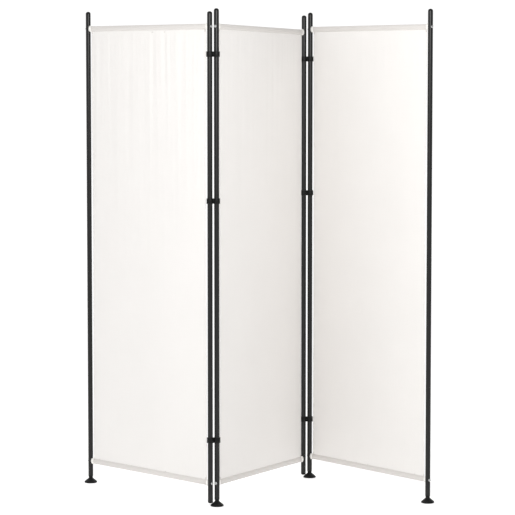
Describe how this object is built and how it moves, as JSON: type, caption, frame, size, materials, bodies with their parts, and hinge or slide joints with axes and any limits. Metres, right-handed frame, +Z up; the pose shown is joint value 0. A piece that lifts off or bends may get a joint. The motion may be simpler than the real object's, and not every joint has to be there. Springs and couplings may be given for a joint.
{
  "type": "folding room divider screen",
  "caption": "Free-standing folding screen of fabric panels stretched between round posts on small feet, joined by turning clips so that it stands in a zigzag or folds flat.",
  "frame": {"origin": "centre of the footprint's bounding box, on the floor", "axes": "+Z up along the posts; +X to the right and -Y towards someone who faces the screen's front"},
  "size_m": [1.3506, 0.665, 1.85],
  "materials": {
    "black_steel": "satin black powder coat",
    "black_plastic": "fine-grained moulded plastic",
    "white_steel": "white powder coat",
    "white_plastic": "smooth moulded plastic",
    "zinc_bolt": "bright zinc plating",
    "white_fabric": "plain-woven matt polyester"
  },
  "bodies": {
    "panel_middle": {"middle_panel_bottom_left_bolt": "zinc_bolt", "middle_panel_bottom_left_saddle": "white_plastic", "middle_panel_bottom_right_bolt": "zinc_bolt", "middle_panel_bottom_right_saddle": "white_plastic", "middle_panel_bottom_rod": "white_steel", "middle_panel_fabric": "white_fabric", "middle_panel_left_foot": "black_plastic", "middle_panel_left_post_cap": "black_plastic", "middle_panel_left_post_tube": "black_steel", "middle_panel_right_end_plug": "black_plastic", "middle_panel_right_post_cap": "black_plastic", "middle_panel_right_post_tube": "black_steel", "middle_panel_top_left_bolt": "zinc_bolt", "middle_panel_top_left_saddle": "white_plastic", "middle_panel_top_right_bolt": "zinc_bolt", "middle_panel_top_right_saddle": "white_plastic", "middle_panel_top_rod": "white_steel"},
    "clips_left": {"left_joint_bottom_clip": "black_plastic", "left_joint_middle_clip": "black_plastic", "left_joint_top_clip": "black_plastic"},
    "panel_left": {"left_panel_bottom_left_bolt": "zinc_bolt", "left_panel_bottom_left_saddle": "white_plastic", "left_panel_bottom_right_bolt": "zinc_bolt", "left_panel_bottom_right_saddle": "white_plastic", "left_panel_bottom_rod": "white_steel", "left_panel_fabric": "white_fabric", "left_panel_left_foot": "black_plastic", "left_panel_left_post_cap": "black_plastic", "left_panel_left_post_tube": "black_steel", "left_panel_right_end_plug": "black_plastic", "left_panel_right_post_cap": "black_plastic", "left_panel_right_post_tube": "black_steel", "left_panel_top_left_bolt": "zinc_bolt", "left_panel_top_left_saddle": "white_plastic", "left_panel_top_right_bolt": "zinc_bolt", "left_panel_top_right_saddle": "white_plastic", "left_panel_top_rod": "white_steel"},
    "clips_right": {"right_joint_bottom_clip": "black_plastic", "right_joint_middle_clip": "black_plastic", "right_joint_top_clip": "black_plastic"},
    "panel_right": {"right_panel_bottom_left_bolt": "zinc_bolt", "right_panel_bottom_left_saddle": "white_plastic", "right_panel_bottom_right_bolt": "zinc_bolt", "right_panel_bottom_right_saddle": "white_plastic", "right_panel_bottom_rod": "white_steel", "right_panel_fabric": "white_fabric", "right_panel_left_foot": "black_plastic", "right_panel_left_post_cap": "black_plastic", "right_panel_left_post_tube": "black_steel", "right_panel_right_foot": "black_plastic", "right_panel_right_post_cap": "black_plastic", "right_panel_right_post_tube": "black_steel", "right_panel_top_left_bolt": "zinc_bolt", "right_panel_top_left_saddle": "white_plastic", "right_panel_top_right_bolt": "zinc_bolt", "right_panel_top_right_saddle": "white_plastic", "right_panel_top_rod": "white_steel"}
  },
  "joints": [
    {"name": "left_clip_pivot", "type": "hinge", "parent": "panel_middle", "child": "clips_left", "pos_m": [-0.14114, -0.30728, 1.14], "axis": [0, 0, -1], "range_deg": [-53.75, 35]},
    {"name": "left_panel_pivot", "type": "hinge", "parent": "clips_left", "child": "panel_left", "pos_m": [-0.16591, -0.31065, 1.14], "axis": [0, 0, -1], "range_deg": [-53.75, 35]},
    {"name": "right_clip_pivot", "type": "hinge", "parent": "panel_middle", "child": "clips_right", "pos_m": [0.19144, 0.30525, 1.14], "axis": [0, 0, -1], "range_deg": [-56.5, 32.25]},
    {"name": "right_panel_pivot", "type": "hinge", "parent": "clips_right", "child": "panel_right", "pos_m": [0.21635, 0.30743, 1.14], "axis": [0, 0, -1], "range_deg": [-56.5, 32.25]}
  ]
}
